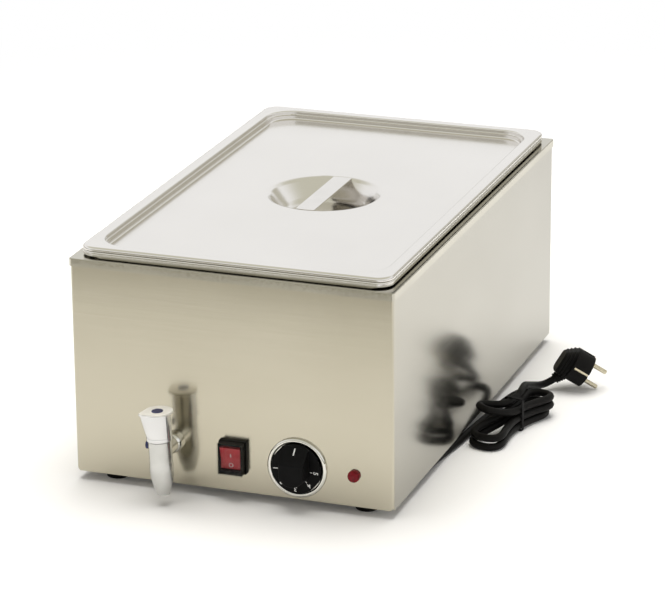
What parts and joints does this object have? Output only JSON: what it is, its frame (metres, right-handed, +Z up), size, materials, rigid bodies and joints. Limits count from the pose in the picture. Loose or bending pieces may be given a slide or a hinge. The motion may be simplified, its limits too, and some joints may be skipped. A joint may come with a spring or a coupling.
{
  "type": "bain-marie",
  "caption": "Countertop electric bain-marie: stainless casing with water tank, lidded gastronorm pan, drain tap, lit switch, thermostat knob, pilot lamp and coiled mains lead.",
  "frame": {"origin": "middle of the appliance's footprint at the feet's undersides, mains lead left out", "axes": "+X to the right seen from the front, -Y towards the front with the controls, +Z up"},
  "size_m": [0.44, 0.5908, 0.2465],
  "materials": {
    "satin_steel": "satin",
    "polished_steel": "polished",
    "plain_steel": "plain",
    "zinc_screws": "zinc plated",
    "chrome_trim": "polished",
    "heater_sheath": "oxidised",
    "brass_stem": "machined",
    "copper_bulb": "drawn",
    "blue_plastic": "gloss",
    "black_plastic": "fine",
    "white_plastic": "matt",
    "red_plastic": "gloss",
    "red_lens": "gloss",
    "clear_cover": "clear",
    "black_rubber": "matt",
    "clear_hose": "silicone",
    "live_wire": "insulated",
    "neutral_wire": "insulated",
    "earth_wire": "insulated"
  },
  "bodies": {
    "base": {"bottom_plate": "plain_steel", "bulb_clip": "plain_steel", "capillary_bulb": "copper_bulb", "casing": "satin_steel", "cord_gland": "black_plastic", "cord_hank": "black_rubber", "cord_lead": "black_rubber", "cord_tail": "black_rubber", "drain_hose": "clear_hose", "earth_stud": "zinc_screws", "foot_back_left": "black_rubber", "foot_back_right": "black_rubber", "foot_front_left": "black_rubber", "foot_front_right": "black_rubber", "foot_screws": "zinc_screws", "gland_nut": "black_plastic", "hank_tie": "black_plastic", "heat_shield": "plain_steel", "heater_clamps": "plain_steel", "heater_element": "heater_sheath", "heater_nuts": "zinc_screws", "heater_studs": "zinc_screws", "heater_terminals": "heater_sheath", "hose_clips": "plain_steel", "knob_ring": "chrome_trim", "lamp_body": "white_plastic", "lamp_lens": "red_lens", "lamp_nut": "zinc_screws", "plate_screws": "zinc_screws", "plug_body": "black_rubber", "plug_boot": "black_rubber", "plug_earth_strips": "zinc_screws", "plug_pins": "zinc_screws", "switch_cover": "clear_cover", "switch_housing": "black_plastic", "switch_terminals": "brass_stem", "tank_outlet": "plain_steel", "tap_body": "chrome_trim", "tap_collar": "chrome_trim", "tap_gasket": "black_rubber", "tap_neck": "chrome_trim", "tap_nut": "chrome_trim", "tap_side_cap": "blue_plastic", "terminal_block": "white_plastic", "thermal_cutout": "white_plastic", "thermostat_body": "black_plastic", "thermostat_screws": "zinc_screws", "water_tank": "polished_steel", "wire_earth": "earth_wire", "wires_live": "live_wire", "wires_neutral": "neutral_wire"},
    "pan": {"gn_pan": "satin_steel"},
    "lid": {"lid": "satin_steel", "lid_handle": "polished_steel"},
    "tap_lever": {"tap_handle": "chrome_trim", "tap_index_cap": "blue_plastic", "tap_stem": "brass_stem"},
    "rocker": {"switch_rocker": "red_plastic"},
    "dial": {"knob": "black_plastic", "thermostat_spindle": "zinc_screws"}
  },
  "joints": [
    {"name": "pan_lift", "type": "slide", "parent": "base", "child": "pan", "axis": [0, 0, 1], "range_m": [0, 0.2]},
    {"name": "lid_lift", "type": "slide", "parent": "pan", "child": "lid", "axis": [0, 0, 1], "range_m": [0, 0.15]},
    {"name": "tap_turn", "type": "hinge", "parent": "base", "child": "tap_lever", "pos_m": [-0.0625, -0.2824, 0.054], "axis": [-0.0523, 0, 0.9986], "range_deg": [0, 90]},
    {"name": "switch_tilt", "type": "hinge", "parent": "base", "child": "rocker", "pos_m": [0.0015, -0.2489, 0.0481], "axis": [-1, 0, 0], "range_deg": [0, 16]},
    {"name": "dial_turn", "type": "hinge", "parent": "base", "child": "dial", "pos_m": [0.069, -0.2484, 0.0432], "axis": [0, 1, 0], "range_deg": [0, 265]}
  ]
}
